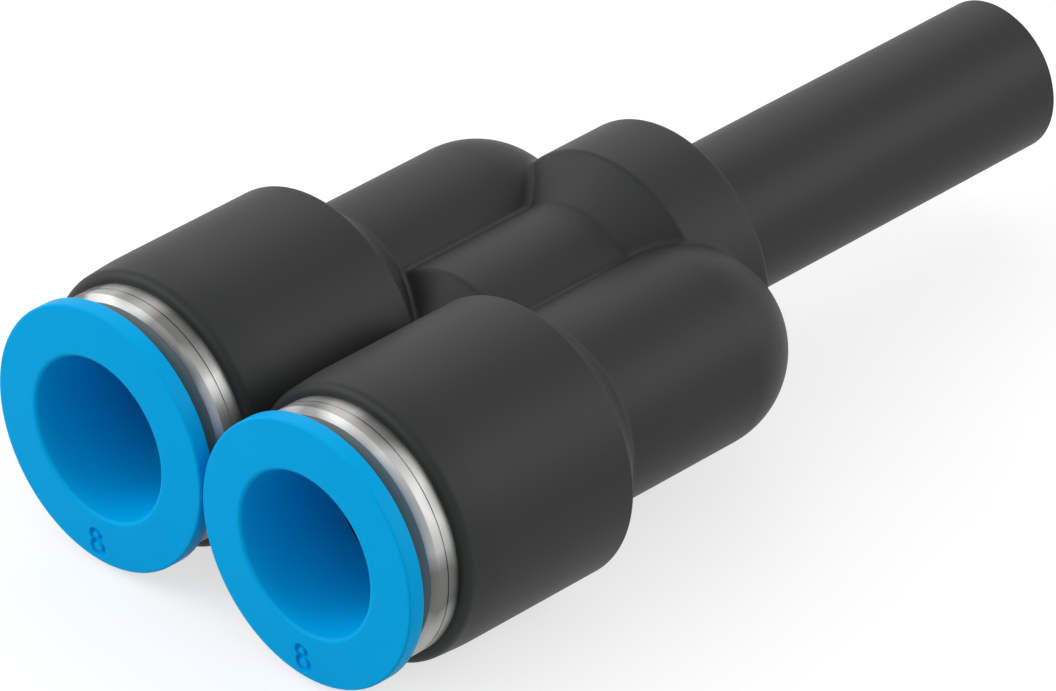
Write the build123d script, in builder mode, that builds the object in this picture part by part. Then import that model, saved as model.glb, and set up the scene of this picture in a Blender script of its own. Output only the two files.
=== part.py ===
"""Push-in tubing Y connector: two sockets for 8 mm tube side by side, and one plug-in stem.

Millimetres, +Z up. The fitting lies flat with its sockets facing -Y and its stem along +Y.
The origin is under the middle of its box, on the surface that it lies on.
A depth is a distance along +Y from the front faces of the release rings.
A profile point is (radius, depth).
"""

import math
import os

from build123d import *

os.makedirs("parts", exist_ok=True)

# Tube and sockets
tube_radius = 4.0
tube_clearance = 0.08
tube_depth = 16.5

# Release ring: flange, sleeve, snap bead and nose
ring_set_in = 0.35
ring_gap = 0.15
ring_thickness = 1.05
ring_edge_round = 0.12
mouth_round = 0.8
release_travel = 1.0
travel_margin = 0.05
sleeve_wall = 0.84
sleeve_length = 5.05
sleeve_clearance = 0.08
bead_height = 0.2
bead_width = 0.5
bead_margin = 0.03
nose_chamfer = 0.35

# Collar pressed into each barrel
collar_lip_thickness = 1.1
collar_undercut = 0.35
collar_wall = 0.6
collar_overhang = 0.6
collar_flange_thickness = 1.53
collar_chamfer_width = 0.4
collar_chamfer_depth = 0.165
collar_groove_depth = 0.06
collar_groove_width = 0.1
collar_groove_place = 0.8
press_clearance = 0.02

# Claw, guide ring and seal behind the collar
claw_sheet = 0.25
claw_rim_width = 0.63
claw_lean = 50
claw_fingers = 12
claw_slot_width = 0.45
claw_slot_reach = 0.2
claw_tip_clearance = 0.12
claw_nose_gap = 0.06
guide_relief = 0.15
guide_length = 1.85
seal_section = 1.42
seal_length = 2.0
seal_lip_height = 0.67
seal_lip_width = 0.4
seal_lip_set_back = 0.25

# Moulded body
barrel_wall = 1.28
barrel_length = 10.95
barrel_front_drop = 0.14
barrel_lead_length = 1.95
barrel_front_round = 0.5
neck_wall = 0.99
neck_length = 11.0
bridge_drop = 0.2
bridge_front_gap = 2.37
bridge_length = 8.45
bridge_nose_radius = 1.2
hub_set_in = 0.145
hub_cone_length = 2.15
hub_length = 4.35
hub_edge_round = 0.25
stem_length = 23.9
stem_end_chamfer = 0.15
stem_bore_radius = 2.75
passage_radius = 2.6
passage_turn_set_back = 4.1
passage_lead = 2.9
passage_bend = 4.0
mould_fillet = 0.3

# Radii, from the tube outwards
tube_bore_radius = tube_radius + tube_clearance
sleeve_radius = tube_bore_radius + sleeve_wall
nose_radius = sleeve_radius - nose_chamfer
lip_radius = sleeve_radius + sleeve_clearance
collar_bore_radius = lip_radius + collar_undercut
collar_body_radius = collar_bore_radius + collar_wall
collar_flange_radius = collar_body_radius + collar_overhang
socket_radius = collar_body_radius + press_clearance
barrel_radius = socket_radius + barrel_wall
barrel_front_radius = barrel_radius - barrel_front_drop
ring_radius = barrel_radius - ring_set_in
socket_pitch = 2 * ring_radius + ring_gap
neck_radius = tube_bore_radius + neck_wall
bridge_radius = neck_radius - bridge_drop
hub_radius = socket_pitch / 2 - hub_set_in
seal_radius = tube_bore_radius + seal_section
seal_web_radius = tube_bore_radius + seal_lip_height
seat_radius = seal_radius + press_clearance

# Depths
collar_front = ring_thickness + release_travel + travel_margin
lip_rear = collar_front + collar_lip_thickness
bead_front = lip_rear + bead_margin
sleeve_end = ring_thickness + sleeve_length
barrel_front = collar_front + collar_flange_thickness
barrel_rear = barrel_front + barrel_length
shoulder_end = barrel_rear + barrel_radius - neck_radius
neck_end = barrel_rear + neck_length
bridge_front = barrel_rear + bridge_front_gap
bridge_rear = bridge_front + bridge_length
hub_front = bridge_rear + hub_cone_length
hub_rear = hub_front + hub_length
overall_length = hub_rear + stem_length

# Claw: a flat rim held behind the collar, and fingers that lean in until the pressed nose meets them
claw_slope = math.tan(math.radians(claw_lean))
claw_rim_inner = collar_body_radius - claw_rim_width
claw_tip_radius = tube_radius + claw_tip_clearance
finger_depth_step = claw_sheet / math.sin(math.radians(claw_lean))
pressed_nose = sleeve_end + release_travel + claw_nose_gap
claw_front = pressed_nose - (claw_rim_inner - nose_radius) / claw_slope
claw_rear = claw_front + claw_sheet
claw_tip_front = claw_front + (claw_rim_inner - claw_tip_radius) / claw_slope
claw_back_corner = claw_rim_inner + (finger_depth_step - claw_sheet) * claw_slope
guide_rear = claw_rear + guide_length
seal_rear = guide_rear + seal_length

# Frame
front_y = -overall_length / 2
axis_height = barrel_radius


def axis_plane(x):
    """Plane through an axis of the fitting: its own x is a radius and its own y is a depth."""
    return Plane(origin=(x, front_y, axis_height), x_dir=(1, 0, 0), z_dir=(0, 0, 1))


def depth_axis(plane):
    """The line along the fitting that the profiles on an axis plane turn round."""
    return Axis(plane.origin, plane.y_dir)


def rear_facing(plane, depth):
    """Plane square to an axis at a depth, facing the stem."""
    return Plane(origin=plane.from_local_coords((0, depth, 0)), x_dir=(1, 0, 0), z_dir=(0, 1, 0))


middle = axis_plane(0)
sockets = {"left": axis_plane(-socket_pitch / 2), "right": axis_plane(socket_pitch / 2)}

# Body: one moulding with two barrels, two round-ended necks, a bridge, a hub and a stem
with BuildPart() as body:
    for socket in sockets.values():
        with BuildSketch(socket):
            with BuildLine():
                FilletPolyline(
                    (0, neck_end + neck_radius),
                    (0, barrel_front),
                    (barrel_front_radius, barrel_front),
                    (barrel_radius, barrel_front + barrel_lead_length),
                    (barrel_radius, barrel_rear),
                    (neck_radius, shoulder_end),
                    (neck_radius, neck_end),
                    radius=[0, barrel_front_round] + [0] * 3,
                )
                CenterArc((0, neck_end), neck_radius, 0, 90)
            make_face()
        revolve(axis=depth_axis(socket))

    # Bridge with a cone at each end, and the hub that carries the stem
    with BuildSketch(middle):
        with BuildLine():
            FilletPolyline(
                (0, hub_rear),
                (0, bridge_front - bridge_radius + bridge_nose_radius),
                (bridge_nose_radius, bridge_front - bridge_radius + bridge_nose_radius),
                (bridge_radius, bridge_front),
                (bridge_radius, bridge_rear),
                (hub_radius, hub_front),
                (hub_radius, hub_rear),
                radius=[0] * 5 + [hub_edge_round, 0],
                close=True,
            )
        make_face()
    revolve(axis=depth_axis(middle))

    # Inside corners of the mould: bridge to necks, hub to necks, and the foot of the hub's cone
    valleys = (
        body.edges()
        .filter_by(GeomType.LINE)
        .filter_by_position(Axis.Y, front_y + bridge_front, front_y + bridge_rear)
        .filter_by(lambda edge: abs(edge.center().Z - axis_height) > neck_radius / 2)
    )
    behind_bridge = body.edges().filter_by_position(
        Axis.Y, front_y + bridge_rear - mould_fillet, front_y + hub_rear
    )
    hub_corners = behind_bridge.filter_by(GeomType.BSPLINE)
    cone_foot = behind_bridge.filter_by(GeomType.CIRCLE).filter_by_position(
        Axis.Y, front_y + bridge_rear - mould_fillet, front_y + bridge_rear + mould_fillet / 10
    )
    fillet(valleys + hub_corners + cone_foot, radius=mould_fillet)

    # Stem
    with BuildSketch(rear_facing(middle, hub_rear)):
        Circle(tube_radius)
    extrude(amount=stem_length)
    stem_foot = body.edges().filter_by(GeomType.CIRCLE).filter_by_position(
        Axis.Y, front_y + hub_rear - mould_fillet / 10, front_y + hub_rear + mould_fillet / 10
    )
    fillet(stem_foot.sort_by(SortBy.RADIUS)[0], radius=mould_fillet)
    chamfer(body.edges().filter_by(GeomType.CIRCLE).sort_by(Axis.Y)[-1], length=stem_end_chamfer)

    # Stepped sockets: collar and guide ring, then the seal's seat, then the tube's pilot and stop
    for socket in sockets.values():
        with BuildSketch(socket):
            with BuildLine():
                Polyline(
                    (0, collar_front),
                    (socket_radius, collar_front),
                    (socket_radius, guide_rear),
                    (seat_radius, guide_rear),
                    (seat_radius, seal_rear),
                    (tube_bore_radius, seal_rear),
                    (tube_bore_radius, tube_depth),
                    (0, tube_depth),
                    close=True,
                )
            make_face()
        revolve(axis=depth_axis(socket), mode=Mode.SUBTRACT)

    # Flow passages from the tube stops, joined in the hub and led out through the stem
    for side in (-1, 1):
        start = (side * socket_pitch / 2, tube_depth - passage_radius)
        turn = (side * socket_pitch / 2, neck_end - passage_turn_set_back)
        join = (0, hub_rear - passage_lead)
        with BuildLine(middle) as passage:
            FilletPolyline(start, turn, join, (0, hub_rear), radius=passage_bend)
        with BuildSketch(rear_facing(axis_plane(start[0]), start[1])):
            Circle(passage_radius)
        sweep(path=passage.line, mode=Mode.SUBTRACT)
    with BuildSketch(rear_facing(middle, hub_rear - stem_bore_radius)):
        Circle(stem_bore_radius)
    extrude(amount=stem_length + stem_bore_radius, mode=Mode.SUBTRACT)

body.part.label = "body"
export_step(body.part, "parts/body.step")

for side, socket in sockets.items():
    # Release ring: the flange that is pressed, and a sleeve that snaps behind the collar's lip
    with BuildPart() as release_ring:
        with BuildSketch(socket):
            with BuildLine():
                FilletPolyline(
                    (tube_bore_radius, 0),
                    (ring_radius, 0),
                    (ring_radius, ring_thickness),
                    (sleeve_radius, ring_thickness),
                    (sleeve_radius, bead_front),
                    (sleeve_radius + bead_height, bead_front),
                    (sleeve_radius + bead_height, bead_front + bead_width),
                    (sleeve_radius, bead_front + bead_width + bead_height),
                    (sleeve_radius, sleeve_end - nose_chamfer),
                    (nose_radius, sleeve_end),
                    (tube_bore_radius, sleeve_end),
                    radius=[mouth_round, ring_edge_round, ring_edge_round] + [0] * 8,
                    close=True,
                )
            make_face()
        revolve(axis=depth_axis(socket))
    release_ring.part.label = f"release_ring_{side}"
    export_step(release_ring.part, f"parts/release_ring_{side}.step")

    # Collar: flange on the barrel's face, lip round the sleeve, body pressed into the socket
    groove_front = collar_front + collar_groove_place
    groove_rear = groove_front + collar_groove_width
    groove_radius = collar_flange_radius - collar_groove_depth
    with BuildPart() as collar:
        with BuildSketch(socket):
            with BuildLine():
                Polyline(
                    (lip_radius, collar_front),
                    (collar_flange_radius - collar_chamfer_width, collar_front),
                    (collar_flange_radius, collar_front + collar_chamfer_depth),
                    (collar_flange_radius, groove_front),
                    (groove_radius, groove_front),
                    (groove_radius, groove_rear),
                    (collar_flange_radius, groove_rear),
                    (collar_flange_radius, barrel_front),
                    (collar_body_radius, barrel_front),
                    (collar_body_radius, claw_front),
                    (collar_bore_radius, claw_front),
                    (collar_bore_radius, lip_rear),
                    (lip_radius, lip_rear),
                    close=True,
                )
            make_face()
        revolve(axis=depth_axis(socket))
    collar.part.label = f"collar_{side}"
    export_step(collar.part, f"parts/collar_{side}.step")

    # Claw: stamped from sheet, its fingers set apart by slots that run into the rim
    with BuildPart() as claw:
        with BuildSketch(socket):
            with BuildLine():
                Polyline(
                    (collar_body_radius, claw_front),
                    (claw_rim_inner, claw_front),
                    (claw_tip_radius, claw_tip_front),
                    (claw_tip_radius, claw_tip_front + finger_depth_step),
                    (claw_back_corner, claw_rear),
                    (collar_body_radius, claw_rear),
                    close=True,
                )
            make_face()
        revolve(axis=depth_axis(socket))
        slot_length = claw_rim_inner + claw_slot_reach
        with BuildSketch(rear_facing(socket, claw_front)):
            with PolarLocations(slot_length / 2, claw_fingers):
                Rectangle(slot_length, claw_slot_width)
        extrude(amount=claw_tip_front + finger_depth_step - claw_front, mode=Mode.SUBTRACT)
    claw.part.label = f"claw_{side}"
    export_step(claw.part, f"parts/claw_{side}.step")

    # Guide ring: backs the claw's rim, with a cone that leaves its fingers room to open
    relief_radius = claw_back_corner + guide_relief
    relief_end = claw_rear + (relief_radius - tube_bore_radius) / claw_slope
    with BuildPart() as guide_ring:
        with BuildSketch(socket):
            with BuildLine():
                Polyline(
                    (relief_radius, claw_rear),
                    (collar_body_radius, claw_rear),
                    (collar_body_radius, guide_rear),
                    (tube_bore_radius, guide_rear),
                    (tube_bore_radius, relief_end),
                    close=True,
                )
            make_face()
        revolve(axis=depth_axis(socket))
    guide_ring.part.label = f"guide_ring_{side}"
    export_step(guide_ring.part, f"parts/guide_ring_{side}.step")

    # Seal: a rubber ring with two lips that close on the tube
    seal_middle = (guide_rear + seal_rear) / 2
    front_lip = guide_rear + seal_lip_set_back
    rear_lip = seal_rear - seal_lip_set_back
    with BuildPart() as seal:
        with BuildSketch(socket):
            with BuildLine():
                Polyline(
                    (seal_radius, guide_rear),
                    (seal_radius, seal_rear),
                    (seal_web_radius, seal_rear),
                    (tube_bore_radius, rear_lip),
                    (tube_bore_radius, rear_lip - seal_lip_width),
                    (seal_web_radius, seal_middle),
                    (tube_bore_radius, front_lip + seal_lip_width),
                    (tube_bore_radius, front_lip),
                    (seal_web_radius, guide_rear),
                    close=True,
                )
            make_face()
        revolve(axis=depth_axis(socket))
    seal.part.label = f"seal_{side}"
    export_step(seal.part, f"parts/seal_{side}.step")
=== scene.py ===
"""Surfaces, finishes and studio for a push-in tubing Y connector.

Metres, +Z up. The sockets face -Y and the stem points along +Y.
A depth is a distance along +Y from the front faces of the release rings at rest.
A profile corner is (radius, depth, round), and a profile point is (radius, depth).
Each socket half of the body is one grid of points, and the other half is its mirror image.
"""

import math

import bmesh
import bpy
import numpy as np
from mathutils import Matrix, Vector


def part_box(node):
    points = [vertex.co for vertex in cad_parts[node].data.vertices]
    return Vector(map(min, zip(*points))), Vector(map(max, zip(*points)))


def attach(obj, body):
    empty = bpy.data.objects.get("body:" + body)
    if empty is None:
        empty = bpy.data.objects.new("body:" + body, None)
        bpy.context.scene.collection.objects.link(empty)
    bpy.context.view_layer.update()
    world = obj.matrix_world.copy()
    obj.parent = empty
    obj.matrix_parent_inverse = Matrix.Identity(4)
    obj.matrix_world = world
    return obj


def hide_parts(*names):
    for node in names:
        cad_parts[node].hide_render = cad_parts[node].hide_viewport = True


bl_info = {
    "name": "Tubing Y Connector",
    "version": (1, 0, 0),
    "blender": (4, 5, 0),
    "location": "3D View > Sidebar > Connector",
    "description": "Builds the surfaces, finishes and studio of a push-in tubing Y connector",
    "category": "Object",
}

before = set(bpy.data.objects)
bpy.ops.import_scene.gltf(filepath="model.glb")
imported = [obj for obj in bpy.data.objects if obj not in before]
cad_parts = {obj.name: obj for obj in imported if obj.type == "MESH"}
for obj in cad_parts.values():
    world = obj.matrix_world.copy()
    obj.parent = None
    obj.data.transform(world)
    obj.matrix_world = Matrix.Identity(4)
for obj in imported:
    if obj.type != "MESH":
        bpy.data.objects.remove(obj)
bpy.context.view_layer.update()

MM = 0.001
SIDES = {"left": -1, "right": 1}


def node_size(name, axis):
    """Extent of a CAD node along one axis."""
    low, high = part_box(name)
    return high[axis] - low[axis]


# Main sizes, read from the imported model
FRONT_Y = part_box("release_ring_right")[0].y
STEM_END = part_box("body")[1].y - FRONT_Y
AXIS_HEIGHT = (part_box("body")[0].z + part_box("body")[1].z) / 2
BARREL_RADIUS = node_size("body", 2) / 2
SOCKET_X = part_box("body")[1].x - BARREL_RADIUS
BARREL_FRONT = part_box("body")[0].y - FRONT_Y
RING_RADIUS = node_size("release_ring_right", 2) / 2
RING_LENGTH = node_size("release_ring_right", 1)
COLLAR_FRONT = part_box("collar_right")[0].y - FRONT_Y
COLLAR_FLANGE_RADIUS = node_size("collar_right", 2) / 2
COLLAR_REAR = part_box("collar_right")[1].y - FRONT_Y
COLLAR_BODY_RADIUS = node_size("guide_ring_right", 2) / 2
GUIDE_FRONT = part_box("guide_ring_right")[0].y - FRONT_Y
GUIDE_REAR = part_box("guide_ring_right")[1].y - FRONT_Y
SEAL_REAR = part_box("seal_right")[1].y - FRONT_Y
SEAL_RADIUS = node_size("seal_right", 2) / 2

# Room round each piece that is set into a barrel
PRESS_CLEARANCE = 0.02 * MM

# Angle of the shoulders and of the bridge's front cone to the axes
CONE_ANGLE = math.radians(45)

# Figure 8 sunk into each ring's face: the middle, half width and half height of each loop
FIGURE_LOOPS = [
    (-0.23 * MM, -5.5 * MM, 0.32 * MM, 0.27 * MM),
    (-0.11 * MM, -6.12 * MM, 0.39 * MM, 0.34 * MM),
]
FIGURE_STROKE = 0.2 * MM
FIGURE_WALL = 0.07 * MM
FIGURE_SUNK = 0.2 * MM

# How finely the surfaces are drawn
MERGE_DISTANCE = 0.0001 * MM
SHARP_ANGLE = math.radians(32)
ROUND_STEP = math.radians(9)
EVEN_TURNS = np.linspace(-math.pi, math.pi, 192, endpoint=False)
HALF_COLUMNS = 224
PASSAGE_ROWS = 25
FRONT_ROUND_ROWS = 10
HUB_ROUND_ROWS = 6
NECK_TIP_TURNS = np.radians(np.linspace(66, 90, 18))

# Close rows and columns of a ring's grid under its figure
FIGURE_RADII = np.linspace(5.05 * MM, 6.65 * MM, 104)
FIGURE_TURNS = np.radians(np.linspace(-98.5, -85, 96))

# Rays that find the body's outlines: where they start, how far they go, how often the gap is halved
STAR_X = 3.3 * MM
REACH = 17 * MM
BISECTIONS = 26

# A facet lies flat in the collar's front end if its normal points at least this much forwards
FLAT_END_LIMIT = 0.999

# Studio: name, place and power in watts of each soft panel
LAMPS = [
    ("behind", (-0.3, 0.3, 0.35), 0.26),
    ("left", (-0.4, -0.3, 0.25), 1.13),
    ("front", (-0.1, -0.45, 0.3), 0.5),
    ("right", (0.35, 0.35, 0.25), 0.94),
]

# Camera: its sensor in millimetres, and the nearest and farthest thing that it sees
SENSOR_WIDTH = 36
NEAREST_SEEN = 0.01
FARTHEST_SEEN = 20


def srgb(code):
    """Linear colour of an sRGB hex code: dark values by a straight line, the others by a power."""
    parts = [int(code[i:i + 2], 16) / 255 for i in (1, 3, 5)]
    linear = [p / 12.92 if p <= 0.04045 else ((p + 0.055) / 1.055) ** 2.4 for p in parts]
    return (*linear, 1.0)


def length(name, description, default):
    """A size that a user can change."""
    return bpy.props.FloatProperty(
        name=name, description=description, default=default, unit="LENGTH", precision=5
    )


def angle(name, description, degrees):
    """An angle that a user can change."""
    return bpy.props.FloatProperty(
        name=name, description=description, default=math.radians(degrees), subtype="ANGLE"
    )


def fraction(name, description, default):
    """A share of full white that a user can change."""
    return bpy.props.FloatProperty(
        name=name, description=description, default=default, min=0, max=1, subtype="FACTOR"
    )


def colour(name, description, code):
    """A colour that a user can change."""
    return bpy.props.FloatVectorProperty(
        name=name, description=description, default=srgb(code), size=4, min=0, max=1, subtype="COLOR"
    )


class ConnectorBodySizes(bpy.types.PropertyGroup):
    """Sizes of the moulded body beside its main radii."""

    barrel_length: length("Barrel length", "Barrel from its face to the shoulder", 10.95 * MM)
    front_drop: length("Front drop", "How far the barrel narrows to its front edge", 0.14 * MM)
    lead_length: length("Lead length", "Length over which the barrel narrows", 1.95 * MM)
    lead_soft: length("Lead softness", "Length of the soft bend behind the narrowing", 0.3 * MM)
    front_round: length("Front round", "Round of the barrel's front edge", 0.5 * MM)
    rear_round: length("Rear round", "Round of the barrel's rear edge", 0.2 * MM)
    neck_radius: length("Neck radius", "Radius of the round-ended necks", 5.07 * MM)
    neck_length: length("Neck length", "From the shoulder's edge to the middle of the end", 11.0 * MM)
    foot_round: length("Neck foot round", "Hollow between shoulder and neck", 0.5 * MM)
    bridge_radius: length("Bridge radius", "Radius of the bridge between the necks", 4.87 * MM)
    bridge_gap: length("Bridge gap", "From the shoulder's edge to the bridge", 2.37 * MM)
    bridge_length: length("Bridge length", "Straight stretch of the bridge", 8.45 * MM)
    bridge_round: length("Bridge round", "Round of the bridge's front edge", 0.35 * MM)
    hub_radius: length("Hub radius", "Radius of the hub", 6.83 * MM)
    hub_cone: length("Hub cone", "Length of the cone in front of the hub", 2.15 * MM)
    hub_length: length("Hub length", "Straight stretch of the hub", 4.35 * MM)
    hub_round: length("Hub round", "Round of the hub's edges", 0.25 * MM)
    fillet: length("Fillet", "Hollow in the mould's inside corners", 0.33 * MM)
    stem_radius: length("Stem radius", "Radius of the plug-in stem", 4.0 * MM)
    stem_bore: length("Stem bore", "Radius of the stem's bore", 2.75 * MM)
    stem_chamfer: length("Stem chamfer", "Chamfer at the stem's end", 0.15 * MM)
    passage: length("Passage radius", "Radius of the passages behind the tube stops", 2.6 * MM)
    passage_lead: length("Passage lead", "From the swing's start to the neck's end", 5.7 * MM)
    tube_bore: length("Tube bore", "Radius of the tube's pilot bore", 4.08 * MM)
    tube_depth: length("Tube depth", "Depth of the tube stop", 16.5 * MM)


class ConnectorRingSizes(bpy.types.PropertyGroup):
    """Sizes of the release rings, collars, guide rings and seals."""

    flange: length("Flange", "Thickness of the ring's flange", 1.05 * MM)
    mouth: length("Mouth", "Radius of the ring's mouth, before its round", 4.3 * MM)
    mouth_depth: length("Mouth depth", "Depth of the mouth's lead-in", 0.8 * MM)
    mouth_round: length("Mouth round", "Round of the ring's mouth", 0.25 * MM)
    rim_drop: length("Rim drop", "How far the flange's rim stands behind the mouth", 0.1 * MM)
    edge_round: length("Edge round", "Round of the flange's edges", 0.12 * MM)
    bore: length("Bore", "Radius of the ring's bore", 4.08 * MM)
    sleeve: length("Sleeve", "Outer radius of the ring's sleeve", 4.92 * MM)
    bead_height: length("Bead height", "Height of the sleeve's snap bead", 0.2 * MM)
    bead_width: length("Bead width", "Width of the snap bead", 0.5 * MM)
    bead_margin: length("Bead margin", "Room between the bead and the collar's lip", 0.03 * MM)
    nose_chamfer: length("Nose chamfer", "Chamfer at the sleeve's end", 0.35 * MM)
    sleeve_room: length("Sleeve room", "Running clearance round the sleeve", 0.08 * MM)
    lip: length("Lip", "Thickness of the collar's lip", 1.1 * MM)
    collar_wall: length("Collar wall", "Wall of the collar behind its lip", 0.6 * MM)
    collar_chamfer: length("Collar chamfer", "Width of the chamfer on the collar", 0.34 * MM)
    collar_chamfer_depth: length("Chamfer depth", "Depth of that chamfer", 0.3 * MM)
    collar_round: length("Collar round", "Round of the chamfer's edges", 0.05 * MM)
    groove_place: length("Groove place", "Collar groove behind the collar's face", 0.8 * MM)
    groove_width: length("Groove width", "Width of the collar's groove", 0.1 * MM)
    groove_depth: length("Groove depth", "Depth of the collar's groove", 0.04 * MM)
    relief: length("Guide relief", "Radius of the guide ring's mouth behind the claw", 5.561 * MM)
    relief_slope: angle("Relief slope", "Angle between the guide ring's cone and its axis", 50)
    seal_web: length("Seal web", "Inner radius of the seal between its lips", 4.75 * MM)
    seal_lip: length("Seal lip", "Width of each lip where it meets the tube", 0.4 * MM)
    seal_set_back: length("Lip set back", "From the seal's end to its lip", 0.25 * MM)
    seal_round: length("Seal round", "Round of the seal's corners", 0.06 * MM)


class ConnectorColours(bpy.types.PropertyGroup):
    """Colours of the moulded pieces that show."""

    body_dark: colour("Body, dark", "Darker tone of the body's plastic", "#222423")
    body_light: colour("Body, light", "Lighter tone of the body's plastic", "#262827")
    ring_dark: colour("Ring, dark", "Darker tone of the release rings' plastic", "#00abed")
    ring_light: colour("Ring, light", "Lighter tone of the release rings' plastic", "#00b0f1")


class ConnectorStudio(bpy.types.PropertyGroup):
    """Viewpoint and light."""

    azimuth: angle("Azimuth", "Viewpoint's turn about +Z", 43.924)
    elevation: angle("Elevation", "Viewpoint's height angle", 32.104)
    roll: angle("Roll", "Viewpoint's tilt about its own line", 0.797)
    place: bpy.props.FloatVectorProperty(
        name="Place", description="Where the camera stands, from the middle of the ring faces",
        default=(283.497 * MM, -272.270 * MM, 255.087 * MM), subtype="TRANSLATION", unit="LENGTH")
    lens: bpy.props.FloatProperty(
        name="Lens", description="Focal length for the camera's sensor", default=340.115, unit="CAMERA")
    floor_size: length("Floor size", "Side of the floor", 4.0)
    floor_lift: fraction("Floor lift", "White added to the floor where it is seen", 0.66)
    lamp_size: length("Lamp size", "Side of each soft panel", 0.35)
    sky_light: fraction("Sky light", "Even light from all round, as a share of white", 0.55)


def new_mesh(name, points, quads):
    """A closed mesh from points and quads: doubles merged, faces outwards, smooth up to SHARP_ANGLE."""
    mesh = bpy.data.meshes.new(name)
    mesh.from_pydata(points.tolist(), [], quads.tolist())
    work = bmesh.new()
    work.from_mesh(mesh)
    bmesh.ops.remove_doubles(work, verts=work.verts, dist=MERGE_DISTANCE)
    bmesh.ops.recalc_face_normals(work, faces=work.faces)
    work.to_mesh(mesh)
    work.free()
    mesh.shade_smooth()
    mesh.set_sharp_from_angle(angle=SHARP_ANGLE)
    return mesh


def add_piece(name, mesh, body, replaced, material):
    """An object at the origin that rides on a body and stands for CAD nodes."""
    piece = bpy.data.objects.new(name, mesh)
    bpy.context.scene.collection.objects.link(piece)
    mesh.materials.append(material)
    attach(piece, body)
    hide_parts(*replaced)


def grid_quads(rows, columns, closed_rows=False, closed_columns=False):
    """Corner numbers of the quads of a grid whose points are numbered row by row."""
    row = np.arange(rows if closed_rows else rows - 1)[:, None]
    column = np.arange(columns if closed_columns else columns - 1)[None, :]
    next_row = (row + 1) % rows
    next_column = (column + 1) % columns
    corners = [row * columns + column, row * columns + next_column,
               next_row * columns + next_column, next_row * columns + column]
    return np.stack(corners, axis=-1).reshape(-1, 4)


def rounded_profile(corners):
    """Profile points of a list of corners, each with its own round.

    At a corner of round r, the arc starts r / tan(half the inside angle) along both sides, is
    tangent to them, and is drawn in steps of about ROUND_STEP. A round of 0 keeps the corner.
    """
    points = []
    places = np.array(corners, float)[:, :2]
    for index, (*_, radius) in enumerate(corners):
        corner = places[index]
        if radius == 0:
            points.append(corner[None, :])
            continue
        before = places[index - 1] - corner
        after = places[(index + 1) % len(places)] - corner
        before /= np.linalg.norm(before)
        after /= np.linalg.norm(after)
        half = math.acos(np.clip(before @ after, -1, 1)) / 2
        middle = (before + after) / np.linalg.norm(before + after)
        centre = corner + middle * radius / math.sin(half)
        start = corner + before * radius / math.tan(half) - centre
        end = corner + after * radius / math.tan(half) - centre
        sweep = math.pi - 2 * half
        share = np.linspace(0, 1, max(2, math.ceil(sweep / ROUND_STEP)) + 1)[:, None]
        arc = (np.sin((1 - share) * sweep) * start + np.sin(share * sweep) * end) / math.sin(sweep)
        points.append(centre + arc)
    return np.concatenate(points)


def to_frame(x, depth, height):
    """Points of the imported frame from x, depth and height over the axes."""
    return np.stack([x, FRONT_Y + depth, AXIS_HEIGHT + height], axis=-1)


def lathe(profile, centre_x, turns=EVEN_TURNS):
    """Points and quads of a closed profile turned round a socket's axis.

    x = centre + radius cos t, height = radius sin t, depth as in the profile.
    """
    turn = turns[None, :]
    radius = profile[:, 0][:, None]
    depth = profile[:, 1][:, None] + 0 * turn
    points = to_frame(centre_x + radius * np.cos(turn), depth, radius * np.sin(turn))
    quads = grid_quads(len(profile), len(turns), closed_rows=True, closed_columns=True)
    return points.reshape(-1, 3), quads


def rounded_union(first, second, radius):
    """Distance to two joined shapes, with a hollow of the radius in the corner between them.

    With a the radius less the first distance and b the radius less the second, both at least 0,
    it is the larger of the radius and the smaller distance, less sqrt(a^2 + b^2).
    """
    into_first = np.maximum(radius - first, 0)
    into_second = np.maximum(radius - second, 0)
    return np.maximum(radius, np.minimum(first, second)) - np.hypot(into_first, into_second)


def rounded_common(first, second, radius):
    """Distance to what two shapes share, with the edge between them rounded."""
    return -rounded_union(-first, -second, radius)


def blend_reach(radius, bend):
    """Reach that gives rounded_union a true round of the radius where the surfaces bend by an angle.

    The round starts radius tan(bend / 2) from the corner, which lies that times sin(bend) off the
    other surface, so the reach is radius (1 - cos(bend)).
    """
    return radius * (1 - math.cos(bend))


def body_depths(sizes):
    """Depths along the body, worked out from its sizes."""
    rear = BARREL_FRONT + sizes.barrel_length
    neck_end = rear + sizes.neck_length
    bridge = rear + sizes.bridge_gap
    cone = bridge + sizes.bridge_length
    hub = cone + sizes.hub_cone
    hub_rear = hub + sizes.hub_length
    return {
        "barrel_rear": rear,
        "shoulder_end": rear + BARREL_RADIUS - sizes.neck_radius,
        "swing_start": neck_end - sizes.passage_lead,
        "neck_end": neck_end,
        "bridge": bridge,
        "cone": cone,
        "hub": hub,
        "swing_end": hub_rear - sizes.stem_bore,
        "hub_rear": hub_rear,
    }


def barrel_radius(sizes, depth):
    """Radius of a barrel at a depth.

    The barrel narrows evenly towards its face. The bend where that starts is a hyperbola: with t
    the way in front of the bend and w its softness, the drop follows (t + sqrt(t^2 + w^2)) / 2.
    """
    ahead = BARREL_FRONT + sizes.lead_length - depth
    drop = (ahead + np.sqrt(ahead**2 + sizes.lead_soft**2)) / 2
    return BARREL_RADIUS - drop * sizes.front_drop / sizes.lead_length


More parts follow.
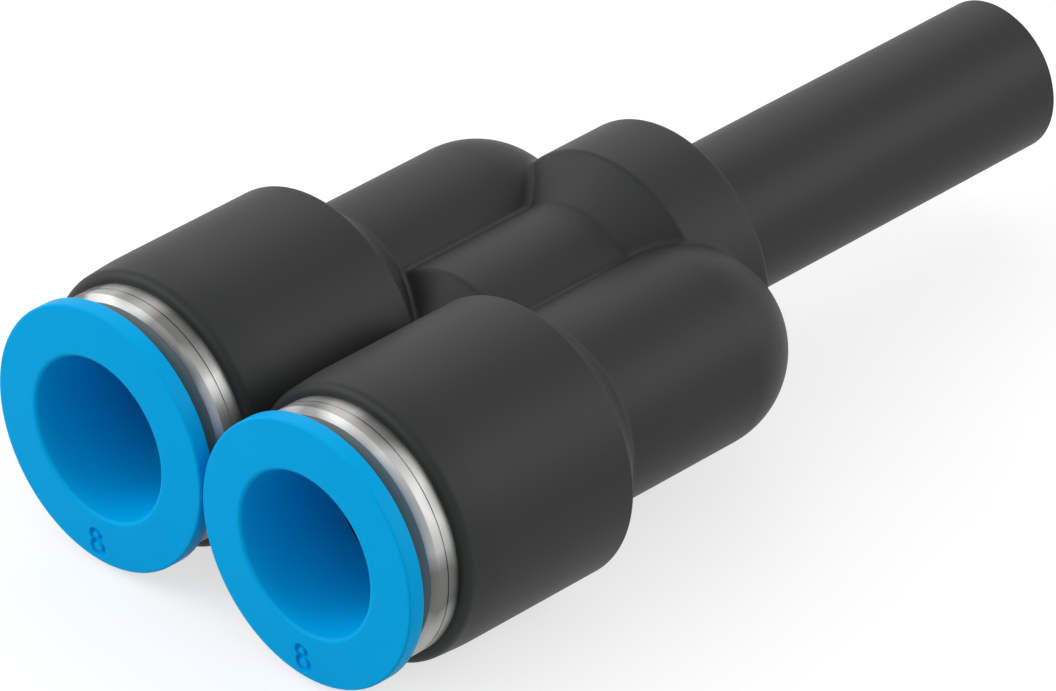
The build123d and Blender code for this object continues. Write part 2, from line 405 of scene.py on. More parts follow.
def body_distance(sizes, at, x, height, depth):
    """Distance from the outside of the body, negative inside, for x >= 0.

    The socket side joins a barrel cut by its 45 degree shoulder to a neck with a round end.
    The middle joins the bridge cut by its 45 degree front cone to the hub cut by its cone.
    Each join and cut has its own round, and the two sides meet in the mould's fillet.
    """
    from_socket = np.hypot(x - SOCKET_X, height)
    shoulder = (from_socket - sizes.neck_radius + depth - at["shoulder_end"]) * math.cos(CONE_ANGLE)
    barrel = from_socket - barrel_radius(sizes, depth)
    barrel = rounded_common(barrel, shoulder, blend_reach(sizes.rear_round, CONE_ANGLE))
    neck = np.hypot(from_socket, np.maximum(depth - at["neck_end"], 0)) - sizes.neck_radius
    side = rounded_union(barrel, neck, blend_reach(sizes.foot_round, CONE_ANGLE))

    from_middle = np.hypot(x, height)
    front_cone = (from_middle - sizes.bridge_radius - depth + at["bridge"]) * math.cos(CONE_ANGLE)
    front_round = blend_reach(sizes.bridge_round, CONE_ANGLE)
    bridge = rounded_common(from_middle - sizes.bridge_radius, front_cone, front_round)
    cone_rise = sizes.hub_radius - sizes.bridge_radius
    cone_angle = math.atan2(cone_rise, sizes.hub_cone)
    cone = from_middle - sizes.hub_radius - (depth - at["hub"]) * cone_rise / sizes.hub_cone
    cone = cone * math.cos(cone_angle)
    hub = rounded_common(from_middle - sizes.hub_radius, cone, blend_reach(sizes.hub_round, cone_angle))
    middle = rounded_union(bridge, hub, blend_reach(sizes.fillet, cone_angle))
    return rounded_union(side, middle, sizes.fillet)


def bisect(distance, low, high):
    """Where a distance turns positive between two bounds, halving the gap between them."""
    low = low.copy()
    high = high.copy()
    for _ in range(BISECTIONS):
        middle = (low + high) / 2
        inside = distance(middle) < 0
        low = np.where(inside, middle, low)
        high = np.where(inside, high, middle)
    return (low + high) / 2


def section_rows(distance, depths, columns):
    """Outlines of the right half of the body at some depths, one row of points for each.

    Rays leave a point between the hub's and the socket's axis. The last ray on each side ends on
    the mirror plane, at the height where the body's surface crosses it, and the others share the
    angle between them. The surface lies where the distance is nought along each ray.
    """
    depth = depths[:, None]
    zero = np.zeros_like(depth)
    crest = bisect(lambda height: distance(zero, height, depth), zero, zero + REACH)
    turn = columns[None, :] * np.arctan2(crest, -STAR_X)
    depth_grid = depth + 0 * turn
    reach = bisect(
        lambda r: distance(STAR_X + r * np.cos(turn), r * np.sin(turn), depth_grid),
        0 * turn, 0 * turn + REACH,
    )
    x = STAR_X + reach * np.cos(turn)
    x[:, [0, -1]] = 0
    return np.stack([x, depth_grid, reach * np.sin(turn)], axis=-1)


def pinned_row(x, depth, height, past_mirror):
    """A row of points whose ends lie exactly on the mirror plane, or exactly on each other."""
    if past_mirror >= 0:
        x[[0, -1]] = 0
    if past_mirror <= 0:
        height[[0, -1]] = 0
    return np.stack([x, depth + 0 * x, height], axis=-1)


def star_ring(centre_x, radius, depth, columns):
    """Where the rays of section_rows meet a circle, as one row of points.

    With o the way from the rays' start to the circle's middle, the ray at turn t is
    o cos t + sqrt(radius^2 - (o sin t)^2) long. A circle that doesn't reach the mirror plane is
    closed, and its ends coincide.
    """
    offset = centre_x - STAR_X
    end = math.atan2(math.sqrt(max(0, radius**2 - centre_x**2)), -STAR_X)
    turn = columns * end
    reach = offset * np.cos(turn) + np.sqrt(radius**2 - (offset * np.sin(turn)) ** 2)
    return pinned_row(STAR_X + reach * np.cos(turn), depth, reach * np.sin(turn), radius - centre_x)


def own_ring(centre_x, radius_x, radius_z, depth, columns):
    """Points of an ellipse shared out over its own turn, cut off at the mirror plane.

    x = centre + radius_x cos t and height = radius_z sin t.
    """
    turn = columns * math.acos(max(-1, -centre_x / radius_x))
    x = centre_x + radius_x * np.cos(turn)
    return pinned_row(x, depth, radius_z * np.sin(turn), radius_x - centre_x)


def passage_rows(sizes, at, columns):
    """Rows along the passage, from the hub's inside to the socket.

    With s from 0 on the stem's axis to 1 on the socket's, the middle lies at (1 - cos(pi s)) / 2
    of the way across. The passage is round across its own line, so its half width along x is its
    radius times the root of 1 + slope^2. One row lies where it leaves the mirror plane.
    """
    swing = at["swing_end"] - at["swing_start"]

    def section(share):
        middle = SOCKET_X * (1 - np.cos(np.pi * share)) / 2
        slope = SOCKET_X * np.pi * np.sin(np.pi * share) / (2 * swing)
        return middle, sizes.passage * np.hypot(1, slope)

    def inner_edge(share):
        middle, half_width = section(share)
        return middle - half_width

    leaving = float(bisect(inner_edge, np.array(0.0), np.array(1.0)))
    rows = []
    for share in np.union1d(np.linspace(0, 1, PASSAGE_ROWS), leaving):
        middle, half_width = section(share)
        if share == leaving:
            half_width = middle
        depth = at["swing_end"] - swing * share
        rows.append(own_ring(middle, half_width, sizes.passage, depth, columns))
    return rows


def socket_rows(sizes, columns):
    """Rows over the tube stop, the pilot bore, the seal's seat and the bore for ring and collar."""
    seat = SEAL_RADIUS + PRESS_CLEARANCE
    socket = COLLAR_BODY_RADIUS + PRESS_CLEARANCE
    profile = [
        (sizes.passage, sizes.tube_depth),
        (sizes.tube_bore, sizes.tube_depth),
        (sizes.tube_bore, SEAL_REAR),
        (seat, SEAL_REAR),
        (seat, GUIDE_REAR),
        (socket, GUIDE_REAR),
        (socket, BARREL_FRONT),
    ]
    return [own_ring(SOCKET_X, radius, radius, depth, columns) for radius, depth in profile]


def front_edge_rows(sizes, columns):
    """Rows round the barrel's front edge: a quarter circle from its face to its side.

    With t from 0 to 90 degrees, the radius is the side's less round (1 - sin t), and the depth is
    the face's plus round (1 - cos t). One row lies where the edge reaches the mirror plane.
    """
    edge = barrel_radius(sizes, BARREL_FRONT + sizes.front_round)
    reaching = math.asin(1 - (edge - SOCKET_X) / sizes.front_round)
    rows = []
    for turn in np.union1d(np.linspace(0, math.pi / 2, FRONT_ROUND_ROWS)[:-1], reaching):
        radius = SOCKET_X if turn == reaching else edge - sizes.front_round * (1 - math.sin(turn))
        depth = BARREL_FRONT + sizes.front_round * (1 - math.cos(turn))
        rows.append(star_ring(SOCKET_X, radius, depth, columns))
    return rows


def outside_depths(sizes, at):
    """Depths of the outlines: close together where the section changes, far apart elsewhere."""
    front = BARREL_FRONT + sizes.front_round
    rear, neck_end = at["barrel_rear"], at["neck_end"]
    bridge, cone, hub = at["bridge"], at["cone"], at["hub"]
    tip = neck_end + sizes.neck_radius
    hub_edge = at["hub_rear"] - sizes.hub_round
    # Where each even stretch starts and ends, and how many outlines it has
    stretches = [
        (front, BARREL_FRONT + 2.2 * sizes.lead_length, 9),         # narrowing of the barrel
        (rear - 0.8 * MM, rear - 0.16 * MM, 5),                     # end of the barrel
        (rear - 0.14 * MM, rear + 0.2 * MM, 11),                    # rear edge of the barrel
        (rear + 0.27 * MM, bridge + 0.5 * MM, 28),                  # shoulder and front of the bridge
        (bridge + 2 * MM, cone - 1 * MM, 3),                        # bridge
        (cone - 0.4 * MM, hub + 0.3 * MM, 30),                      # cone in front of the hub
        (hub + 0.5 * MM, neck_end + 4.55 * MM, 14),                 # hub beside the necks
        (tip + 0.02 * MM, tip + sizes.fillet + 0.05 * MM, 8),       # fillet behind the necks' tips
        (hub_edge - 0.3 * MM, hub_edge, 2),                         # end of the hub
    ]
    even = [np.linspace(start, end, count) for start, end, count in stretches]
    tips = neck_end + sizes.neck_radius * np.sin(NECK_TIP_TURNS)
    return np.unique(np.concatenate([*even, tips]))


def rear_rows(sizes, at, columns):
    """Rows round the hub's rear edge, then over its rear face, the stem and the stem's bore.

    The edge is a quarter circle, with t from 0 to 90 degrees: the radius is the hub's less
    round (1 - cos t), and the depth is the rear's less round (1 - sin t).
    """
    rows = []
    for turn in np.linspace(0, math.pi / 2, HUB_ROUND_ROWS)[1:]:
        radius = sizes.hub_radius - sizes.hub_round * (1 - math.cos(turn))
        depth = at["hub_rear"] - sizes.hub_round * (1 - math.sin(turn))
        rows.append(star_ring(0, radius, depth, columns))
    stem = rounded_profile([
        (sizes.hub_radius - 2 * sizes.hub_round, at["hub_rear"], 0),
        (sizes.stem_radius, at["hub_rear"], sizes.fillet),
        (sizes.stem_radius, STEM_END - sizes.stem_chamfer, 0),
        (sizes.stem_radius - sizes.stem_chamfer, STEM_END, 0),
        (sizes.stem_bore, STEM_END, 0),
        (sizes.stem_bore, at["swing_end"], 0),
    ])
    rows.extend(own_ring(0, radius, radius, depth, columns) for radius, depth in stem)
    return rows


def body_half(sizes):
    """Rows of points that wrap the whole right half of the body, inside and out.

    The rows run from the hub's inside through the passage and the socket to the barrel's face,
    back along the outside to the stem's end, and through the stem's bore to where they began.
    """
    at = body_depths(sizes)
    columns = np.linspace(-1, 1, HALF_COLUMNS + 1)

    def distance(x, height, depth):
        return body_distance(sizes, at, x, height, depth)

    return np.array([
        *passage_rows(sizes, at, columns),
        *socket_rows(sizes, columns),
        *front_edge_rows(sizes, columns),
        *section_rows(distance, outside_depths(sizes, at), columns),
        *rear_rows(sizes, at, columns),
    ])


def ring_profile(sizes):
    """Profile of a release ring: the face's flat cone, the flange, and the sleeve with its bead."""
    bead_radius = sizes.sleeve + sizes.bead_height
    bead_front = COLLAR_FRONT + sizes.lip + sizes.bead_margin
    bead_rear = bead_front + sizes.bead_width
    return rounded_profile([
        (sizes.bore, sizes.mouth_depth, 0),
        (sizes.mouth, 0, sizes.mouth_round),
        (RING_RADIUS, sizes.rim_drop, sizes.edge_round),
        (RING_RADIUS, sizes.flange, sizes.edge_round),
        (sizes.sleeve, sizes.flange, 0),
        (sizes.sleeve, bead_front, 0),
        (bead_radius, bead_front, 0),
        (bead_radius, bead_rear, 0),
        (sizes.sleeve, bead_rear + sizes.bead_height, 0),
        (sizes.sleeve, RING_LENGTH - sizes.nose_chamfer, 0),
        (sizes.sleeve - sizes.nose_chamfer, RING_LENGTH, 0),
        (sizes.bore, RING_LENGTH, 0),
    ])


def figure_depth(across, up):
    """Depth of the figure 8 below the ring's face, by place from the ring's middle.

    The stroke follows two ellipses. With k the root of (x/a)^2 + (z/b)^2, the distance to one is
    about |k - 1| k divided by the root of (x/a^2)^2 + (z/b^2)^2. With s the way up the stroke's
    wall from 0 to 1, the depth follows s^2 (3 - 2 s).
    """
    # In the middle of a loop the slope is nought, so it is kept above that where it divides
    least_slope = 1.0
    distance = np.full_like(across, np.inf)
    for middle_x, middle_z, half_width, half_height in FIGURE_LOOPS:
        x = across - middle_x
        z = up - middle_z
        ratio = np.hypot(x / half_width, z / half_height)
        slope = np.hypot(x / half_width**2, z / half_height**2)
        distance = np.minimum(distance, np.abs(ratio - 1) * ratio / np.maximum(slope, least_slope))
    share = np.clip((FIGURE_STROKE + FIGURE_WALL - 2 * distance) / (2 * FIGURE_WALL), 0, 1)
    return FIGURE_SUNK * share**2 * (3 - 2 * share)


def ring_surface(sizes, centre_x):
    """Points and quads of a release ring, with close rows and columns where its figure is sunk.

    The close rows lie on the face's cone, whose depth grows evenly from the mouth to the rim.
    """
    profile = ring_profile(sizes)
    first = np.argmax(profile[:, 0] > FIGURE_RADII[-1])
    slope = sizes.rim_drop / (RING_RADIUS - sizes.mouth)
    cone = np.stack([FIGURE_RADII, slope * (FIGURE_RADII - sizes.mouth)], axis=-1)
    profile = np.insert(profile, first, cone, axis=0)
    away = (EVEN_TURNS < FIGURE_TURNS[0]) | (EVEN_TURNS > FIGURE_TURNS[-1])
    turns = np.sort(np.concatenate([EVEN_TURNS[away], FIGURE_TURNS]))
    points, quads = lathe(profile, centre_x, turns)
    # The face is a view of the points, so sinking it sinks them
    face = points.reshape(len(profile), len(turns), 3)[first:first + len(FIGURE_RADII)]
    face[..., 1] += figure_depth(face[..., 0] - centre_x, face[..., 2] - AXIS_HEIGHT)
    return points, quads


def collar_profile(sizes):
    """Profile of a collar: chamfered and grooved flange, body pressed into the barrel, and lip."""
    groove = COLLAR_FRONT + sizes.groove_place
    groove_radius = COLLAR_FLANGE_RADIUS - sizes.groove_depth
    lip_radius = sizes.sleeve + sizes.sleeve_room
    lip_rear = COLLAR_FRONT + sizes.lip
    bore = COLLAR_BODY_RADIUS - sizes.collar_wall
    return rounded_profile([
        (lip_radius, COLLAR_FRONT, 0),
        (COLLAR_FLANGE_RADIUS - sizes.collar_chamfer, COLLAR_FRONT, sizes.collar_round),
        (COLLAR_FLANGE_RADIUS, COLLAR_FRONT + sizes.collar_chamfer_depth, sizes.collar_round),
        (COLLAR_FLANGE_RADIUS, groove, 0),
        (groove_radius, groove, 0),
        (groove_radius, groove + sizes.groove_width, 0),
        (COLLAR_FLANGE_RADIUS, groove + sizes.groove_width, 0),
        (COLLAR_FLANGE_RADIUS, BARREL_FRONT, 0),
        (COLLAR_BODY_RADIUS, BARREL_FRONT, 0),
        (COLLAR_BODY_RADIUS, COLLAR_REAR, 0),
        (bore, COLLAR_REAR, 0),
        (bore, lip_rear, 0),
        (lip_radius, lip_rear, 0),
    ])


def finish_front_end(mesh, limit_y, material):
    """Gives the flat end in front of a limit its own material."""
    mesh.materials.append(material)
    normals = np.empty(3 * len(mesh.polygons))
    mesh.polygons.foreach_get("normal", normals)
    centres = np.empty_like(normals)
    mesh.polygons.foreach_get("center", centres)
    flat_end = (normals[1::3] < -FLAT_END_LIMIT) & (centres[1::3] < limit_y)
    mesh.polygons.foreach_set("material_index", flat_end.astype(np.int32))


def guide_profile(sizes):
    """Profile of a guide ring: a plain ring with a cone behind the claw."""
    cone_end = GUIDE_FRONT + (sizes.relief - sizes.bore) / math.tan(sizes.relief_slope)
    return rounded_profile([
        (sizes.relief, GUIDE_FRONT, 0),
        (COLLAR_BODY_RADIUS, GUIDE_FRONT, 0),
        (COLLAR_BODY_RADIUS, GUIDE_REAR, 0),
        (sizes.bore, GUIDE_REAR, 0),
        (sizes.bore, cone_end, 0),
    ])


def seal_profile(sizes):
    """Profile of a seal: a web with a lip towards each end that meets the tube."""
    front_lip = GUIDE_REAR + sizes.seal_set_back
    rear_lip = SEAL_REAR - sizes.seal_set_back
    corners = [
        (SEAL_RADIUS, GUIDE_REAR),
        (SEAL_RADIUS, SEAL_REAR),
        (sizes.seal_web, SEAL_REAR),
        (sizes.bore, rear_lip),
        (sizes.bore, rear_lip - sizes.seal_lip),
        (sizes.seal_web, (GUIDE_REAR + SEAL_REAR) / 2),
        (sizes.bore, front_lip + sizes.seal_lip),
        (sizes.bore, front_lip),
        (sizes.seal_web, GUIDE_REAR),
    ]
    return rounded_profile([(*corner, sizes.seal_round) for corner in corners])


def add_inner_pair(piece, profile, material):
    """Both copies of a turned inner piece, one in each socket."""
    for name, side in SIDES.items():
        title = f"smooth_{piece}_{name}"
        mesh = new_mesh(title, *lathe(profile, side * SOCKET_X))
        add_piece(title, mesh, "fitting", [f"{piece}_{name}"], material)


def add_node(tree, kind, inputs=None, **settings):
    """A shader node with its settings, its input values and the links into it."""
    made = tree.nodes.new(kind)
    for key, value in settings.items():
        setattr(made, key, value)
    for key, value in (inputs or {}).items():
        if isinstance(value, bpy.types.NodeSocket):
            tree.links.new(value, made.inputs[key])
        else:
            made.inputs[key].default_value = value
    return made


def new_material(name):
    """An empty node material, its tree and its Object coordinates."""
    material = bpy.data.materials.new(name)
    material.use_nodes = True
    tree = material.node_tree
    tree.nodes.clear()
    place = add_node(tree, "ShaderNodeTexCoord").outputs["Object"]
    return material, tree, place


def moulded_polyester(colours):
    """Glass-filled polyester, moulded in a spark-eroded tool: an even dark grey with a soft sheen.

    The tool's grain is drawn coarser than it is, so that it shows.
    """
    grain_size = 0.12 * MM
    grain_height = 0.02 * MM
    cloud_size = 6 * MM
    material, tree, place = new_material("moulded_polyester")
    grain = add_node(tree, "ShaderNodeTexNoise", {
        "Vector": place, "Scale": 1 / grain_size, "Detail": 2.0, "Roughness": 0.6})
    cloud = add_node(tree, "ShaderNodeTexNoise", {
        "Vector": place, "Scale": 1 / cloud_size, "Detail": 2.0})
    tone = add_node(tree, "ShaderNodeMix", {
        "Factor": cloud.outputs["Fac"], "A": colours.body_dark, "B": colours.body_light},
        data_type="RGBA")
    rough = add_node(tree, "ShaderNodeMapRange", {
        "Value": grain.outputs["Fac"], "To Min": 0.46, "To Max": 0.54})
    bump = add_node(tree, "ShaderNodeBump", {
        "Height": grain.outputs["Fac"], "Strength": 0.08, "Distance": grain_height})
    shader = add_node(tree, "ShaderNodeBsdfPrincipled", {
        "Base Color": tone.outputs["Result"], "Roughness": rough.outputs["Result"],
        "Normal": bump.outputs["Normal"], "IOR": 1.48, "Specular IOR Level": 0.27})
    add_node(tree, "ShaderNodeOutputMaterial", {"Surface": shader.outputs["BSDF"]})
    return material


def moulded_acetal(colours):
    """Acetal, moulded in a polished tool and dyed through: a bright blue with a waxy, faint gloss."""
    cloud_size = 3 * MM
    material, tree, place = new_material("moulded_acetal")
    cloud = add_node(tree, "ShaderNodeTexNoise", {
        "Vector": place, "Scale": 1 / cloud_size, "Detail": 2.0})
    tone = add_node(tree, "ShaderNodeMix", {
        "Factor": cloud.outputs["Fac"], "A": colours.ring_dark, "B": colours.ring_light},
        data_type="RGBA")
    shader = add_node(tree, "ShaderNodeBsdfPrincipled", {
        "Base Color": tone.outputs["Result"], "Roughness": 0.4, "IOR": 1.48,
        "Specular IOR Level": 0.04})
    add_node(tree, "ShaderNodeOutputMaterial", {"Surface": shader.outputs["BSDF"]})
    return material


def nickel_plate():
    """Nickel plate over turned brass: bright grey with painted reflection streaks, and fine turning
    lines round the axis.
    """
    line_width = 0.08 * MM
    cloud_size = 2.8 * MM
    material, tree, place = new_material("nickel_plate")
    depth = add_node(tree, "ShaderNodeSeparateXYZ", {"Vector": place}).outputs["Y"]
    lines = add_node(tree, "ShaderNodeTexNoise", {
        "W": depth, "Scale": 1 / line_width, "Detail": 1.0}, noise_dimensions="1D")
    # This noise paints reflection streaks: soft patches where the plate's grey is painted lighter or
    # darker.
    cloud = add_node(tree, "ShaderNodeTexNoise", {
        "Vector": place, "Scale": 1 / cloud_size, "Detail": 0.0})
    painted_reflection_streaks = add_node(tree, "ShaderNodeMapRange", {
        "Value": cloud.outputs["Fac"], "From Min": 0.4, "From Max": 0.6})
    tone = add_node(tree, "ShaderNodeMix", {
        "Factor": painted_reflection_streaks.outputs["Result"], "A": srgb("#737271"), "B": srgb("#b0afad")},
        data_type="RGBA")
    rough = add_node(tree, "ShaderNodeMapRange", {
        "Value": lines.outputs["Fac"], "To Min": 0.42, "To Max": 0.5})
    shader = add_node(tree, "ShaderNodeBsdfPrincipled", {
        "Base Color": tone.outputs["Result"], "Metallic": 1.0, "Roughness": rough.outputs["Result"]})
    add_node(tree, "ShaderNodeOutputMaterial", {"Surface": shader.outputs["BSDF"]})
    return material


def faced_nickel():
    """Nickel plate, thin over a coarsely faced brass end: a dull, warm grey that mirrors nothing."""
    grain_size = 0.1 * MM
    material, tree, place = new_material("faced_nickel")
    grain = add_node(tree, "ShaderNodeTexNoise", {
        "Vector": place, "Scale": 1 / grain_size, "Detail": 2.0})
    tone = add_node(tree, "ShaderNodeMix", {
        "Factor": grain.outputs["Fac"], "A": srgb("#b59d86"), "B": srgb("#bfa790")},
        data_type="RGBA")
    shader = add_node(tree, "ShaderNodeBsdfPrincipled", {
        "Base Color": tone.outputs["Result"], "Metallic": 0.2, "Roughness": 0.7})
    add_node(tree, "ShaderNodeOutputMaterial", {"Surface": shader.outputs["BSDF"]})
    return material


def spring_steel():
    """Stainless spring strip, cold rolled: a darker grey metal with a fine grain."""
    grain_size = 0.1 * MM
    material, tree, place = new_material("spring_steel")
    grain = add_node(tree, "ShaderNodeTexNoise", {
        "Vector": place, "Scale": 1 / grain_size, "Detail": 3.0})
    rough = add_node(tree, "ShaderNodeMapRange", {
        "Value": grain.outputs["Fac"], "To Min": 0.28, "To Max": 0.4})
    shader = add_node(tree, "ShaderNodeBsdfPrincipled", {
        "Base Color": srgb("#b9b7b3"), "Metallic": 1.0, "Roughness": rough.outputs["Result"]})
    add_node(tree, "ShaderNodeOutputMaterial", {"Surface": shader.outputs["BSDF"]})
    return material


def black_acetal():
    """Black acetal, moulded: a deep black with a soft gloss."""
    cloud_size = 1 * MM
    material, tree, place = new_material("black_acetal")
    cloud = add_node(tree, "ShaderNodeTexNoise", {
        "Vector": place, "Scale": 1 / cloud_size, "Detail": 2.0})
    rough = add_node(tree, "ShaderNodeMapRange", {
        "Value": cloud.outputs["Fac"], "To Min": 0.38, "To Max": 0.48})
    shader = add_node(tree, "ShaderNodeBsdfPrincipled", {
        "Base Color": srgb("#1c1c1c"), "Roughness": rough.outputs["Result"], "IOR": 1.48})
    add_node(tree, "ShaderNodeOutputMaterial", {"Surface": shader.outputs["BSDF"]})
    return material


def nitrile_rubber():
    """Nitrile rubber, pressed in a mould: a dull black with a faint bloom."""
    bloom_size = 0.8 * MM
    material, tree, place = new_material("nitrile_rubber")
    bloom = add_node(tree, "ShaderNodeTexNoise", {
        "Vector": place, "Scale": 1 / bloom_size, "Detail": 3.0})
    tone = add_node(tree, "ShaderNodeMix", {
        "Factor": bloom.outputs["Fac"], "A": srgb("#121212"), "B": srgb("#1e1e1d")},
        data_type="RGBA")
    shader = add_node(tree, "ShaderNodeBsdfPrincipled", {
        "Base Color": tone.outputs["Result"], "Roughness": 0.75, "IOR": 1.52})
    add_node(tree, "ShaderNodeOutputMaterial", {"Surface": shader.outputs["BSDF"]})
    return material


def seen_clearly(tree):
    """1 where the camera, a gloss or something clear shows a surface, 0 where it only gives light."""
    path = add_node(tree, "ShaderNodeLightPath")
    gloss = add_node(tree, "ShaderNodeMath", {
        0: path.outputs["Is Camera Ray"], 1: path.outputs["Is Glossy Ray"]}, operation="MAXIMUM")
    clear = add_node(tree, "ShaderNodeMath", {
        0: gloss.outputs["Value"], 1: path.outputs["Is Transmission Ray"]}, operation="MAXIMUM")
    return clear.outputs["Value"]


def white_board(lift):
    """Matt pale board, lit by the lamps. Where it is seen, it glows as well, so that it is white."""
    material, tree, _ = new_material("white_board")
    board = add_node(tree, "ShaderNodeBsdfDiffuse", {"Color": srgb("#b4b4b4")})
    strength = add_node(tree, "ShaderNodeMath", {0: seen_clearly(tree), 1: lift}, operation="MULTIPLY")
    glow = add_node(tree, "ShaderNodeEmission", {"Strength": strength.outputs["Value"]})
    both = add_node(tree, "ShaderNodeAddShader", {
        0: board.outputs["BSDF"], 1: glow.outputs["Emission"]})
    add_node(tree, "ShaderNodeOutputMaterial", {"Surface": both.outputs["Shader"]})
    return material


def add_floor(studio):
    """A white floor under the object, wide enough to fill every view of it."""
    half = studio.floor_size / 2
    mesh = bpy.data.meshes.new("floor")
    corners = [(-half, -half, 0), (half, -half, 0), (half, half, 0), (-half, half, 0)]
    mesh.from_pydata(corners, [], [(0, 1, 2, 3)])
    mesh.materials.append(white_board(studio.floor_lift))
    floor = bpy.data.objects.new("floor", mesh)
    bpy.context.scene.collection.objects.link(floor)


def add_sky(studio):
    """White all round, which lights the object less strongly than it shows."""
    scene = bpy.context.scene
    if scene.world is None:
        scene.world = bpy.data.worlds.new("studio")
    scene.world.use_nodes = True
    tree = scene.world.node_tree
    tree.nodes.clear()
    strength = add_node(tree, "ShaderNodeMapRange", {
        "Value": seen_clearly(tree), "To Min": studio.sky_light, "To Max": 1.0})
    sky = add_node(tree, "ShaderNodeBackground", {
        "Color": (1, 1, 1, 1), "Strength": strength.outputs["Result"]})
    add_node(tree, "ShaderNodeOutputWorld", {"Surface": sky.outputs["Background"]})


def add_lamps(studio):
    """Soft square panels on all sides, each turned to face the object."""
    for name, place, power in LAMPS:
        light = bpy.data.lights.new(name, "AREA")
        light.size = studio.lamp_size
        light.energy = power
        lamp = bpy.data.objects.new(name, light)
        bpy.context.scene.collection.objects.link(lamp)
        lamp.location = place
        aim = np.array([0, 0, AXIS_HEIGHT]) - np.array(place)
        yaw = math.atan2(aim[1], aim[0])
        pitch = math.atan2(math.hypot(aim[0], aim[1]), -aim[2])
        lamp.rotation_euler = (pitch, 0, yaw - math.pi / 2)


def add_camera(studio):
    """Camera at the photograph's viewpoint.

    Its back direction is set by azimuth and elevation, and it is then rolled about that line.
    """
    turn, lift, roll = studio.azimuth, studio.elevation, studio.roll
    right = np.array([math.cos(turn), math.sin(turn), 0])
    back = np.array([math.sin(turn) * math.cos(lift), -math.cos(turn) * math.cos(lift), math.sin(lift)])
    up = np.cross(back, right)
    matrix = np.eye(4)
    matrix[:3, 0] = math.cos(roll) * right + math.sin(roll) * up
    matrix[:3, 1] = math.cos(roll) * up - math.sin(roll) * right
    matrix[:3, 2] = back
    matrix[:3, 3] = np.array(studio.place) + np.array([0, FRONT_Y, AXIS_HEIGHT])
    data = bpy.data.cameras.new("camera")
    data.sensor_width = SENSOR_WIDTH
    data.lens = studio.lens
    data.clip_start = NEAREST_SEEN
    data.clip_end = FARTHEST_SEEN
    camera = bpy.data.objects.new("camera", data)
    bpy.context.scene.collection.objects.link(camera)
    camera.matrix_world = Matrix(matrix.tolist())
    bpy.context.scene.camera = camera
    bpy.context.scene.view_settings.view_transform = "Standard"


class CONNECTOR_OT_body(bpy.types.Operator):
    """Build the moulded body"""

    bl_idname = "connector.body"
    bl_label = "Moulded body"

    def execute(self, context):
        half = body_half(context.scene.connector_body)
        rows, columns = half.shape[:2]
        points = [to_frame(side * half[..., 0], half[..., 1], half[..., 2]).reshape(-1, 3)
                  for side in (1, -1)]
        quads = grid_quads(rows, columns, closed_rows=True)
        both = np.concatenate([quads, quads[:, ::-1] + rows * columns])
        mesh = new_mesh("moulded_body", np.concatenate(points), both)
        add_piece("moulded_body", mesh, "fitting", ["body"],
                  moulded_polyester(context.scene.connector_colours))
        return {"FINISHED"}


class CONNECTOR_OT_rings(bpy.types.Operator):
    """Build the release rings"""

    bl_idname = "connector.rings"
    bl_label = "Release rings"

    def execute(self, context):
        sizes = context.scene.connector_rings
        material = moulded_acetal(context.scene.connector_colours)
        for name, side in SIDES.items():
            mesh = new_mesh(f"ring_{name}", *ring_surface(sizes, side * SOCKET_X))
            add_piece(f"ring_{name}", mesh, f"release_{name}",
                      [f"release_ring_{name}"], material)
        return {"FINISHED"}


class CONNECTOR_OT_collars(bpy.types.Operator):
    """Build the nickel-plated collars"""

    bl_idname = "connector.collars"
    bl_label = "Collars"

    def execute(self, context):
        sizes = context.scene.connector_rings
        plated = nickel_plate()
        faced = faced_nickel()
        profile = collar_profile(sizes)
        groove_y = FRONT_Y + COLLAR_FRONT + sizes.groove_place
        for name, side in SIDES.items():
            mesh = new_mesh(f"nickel_collar_{name}", *lathe(profile, side * SOCKET_X))
            add_piece(f"nickel_collar_{name}", mesh, "fitting",
                      [f"collar_{name}"], plated)
            finish_front_end(mesh, groove_y, faced)
        return {"FINISHED"}


class CONNECTOR_OT_guide_rings(bpy.types.Operator):
    """Build the guide rings behind the collars"""

    bl_idname = "connector.guide_rings"
    bl_label = "Guide rings"

    def execute(self, context):
        profile = guide_profile(context.scene.connector_rings)
        add_inner_pair("guide_ring", profile, black_acetal())
        return {"FINISHED"}


class CONNECTOR_OT_seals(bpy.types.Operator):
    """Build the lip seals"""

    bl_idname = "connector.seals"
    bl_label = "Seals"

    def execute(self, context):
        profile = seal_profile(context.scene.connector_rings)
        add_inner_pair("seal", profile, nitrile_rubber())
        return {"FINISHED"}


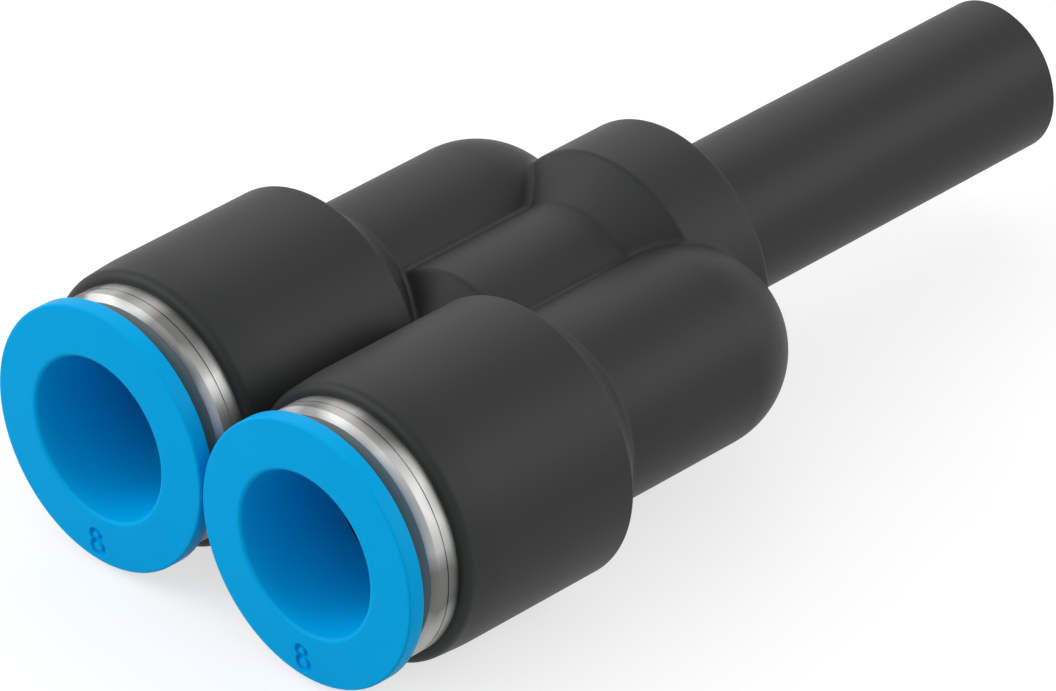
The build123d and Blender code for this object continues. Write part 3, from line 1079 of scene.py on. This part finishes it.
class CONNECTOR_OT_claws(bpy.types.Operator):
    """Finish the claws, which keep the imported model's meshes"""

    bl_idname = "connector.claws"
    bl_label = "Claws"

    def execute(self, context):
        steel = spring_steel()
        for name in SIDES:
            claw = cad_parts[f"claw_{name}"]
            if not claw.material_slots:
                raise RuntimeError(f"{claw.name} has no material slot")
            for material_slot in claw.material_slots:
                material_slot.material = steel
        return {"FINISHED"}


class CONNECTOR_OT_studio(bpy.types.Operator):
    """Set up the floor, the sky, the lamps and the viewpoint"""

    bl_idname = "connector.studio"
    bl_label = "Studio"

    def execute(self, context):
        studio = context.scene.connector_studio
        add_floor(studio)
        add_sky(studio)
        add_lamps(studio)
        add_camera(studio)
        return {"FINISHED"}


OPERATORS = [
    CONNECTOR_OT_body,
    CONNECTOR_OT_rings,
    CONNECTOR_OT_collars,
    CONNECTOR_OT_guide_rings,
    CONNECTOR_OT_seals,
    CONNECTOR_OT_claws,
    CONNECTOR_OT_studio,
]
GROUPS = {
    "connector_body": ConnectorBodySizes,
    "connector_rings": ConnectorRingSizes,
    "connector_colours": ConnectorColours,
    "connector_studio": ConnectorStudio,
}


class CONNECTOR_PT_panel(bpy.types.Panel):
    """Lists the steps that build the connector, and what a user can change"""

    bl_idname = "CONNECTOR_PT_panel"
    bl_label = "Tubing Y Connector"
    bl_space_type = "VIEW_3D"
    bl_region_type = "UI"
    bl_category = "Connector"

    def draw(self, context):
        for operator in OPERATORS:
            self.layout.operator(operator.bl_idname)
        for name, group in GROUPS.items():
            box = self.layout.box()
            for key in group.__annotations__:
                box.prop(getattr(context.scene, name), key)


def register():
    for group in GROUPS.values():
        bpy.utils.register_class(group)
    for name, group in GROUPS.items():
        setattr(bpy.types.Scene, name, bpy.props.PointerProperty(type=group))
    for operator in OPERATORS:
        bpy.utils.register_class(operator)
    bpy.utils.register_class(CONNECTOR_PT_panel)


def unregister():
    bpy.utils.unregister_class(CONNECTOR_PT_panel)
    for operator in reversed(OPERATORS):
        bpy.utils.unregister_class(operator)
    for name in GROUPS:
        delattr(bpy.types.Scene, name)
    for group in reversed(list(GROUPS.values())):
        bpy.utils.unregister_class(group)


def main():
    register()
    for operator in OPERATORS:
        group, name = operator.bl_idname.split(".")
        result = getattr(getattr(bpy.ops, group), name)()
        if result != {"FINISHED"}:
            raise RuntimeError(f"{operator.bl_label} did not finish")


if __name__ == "__main__":
    main()
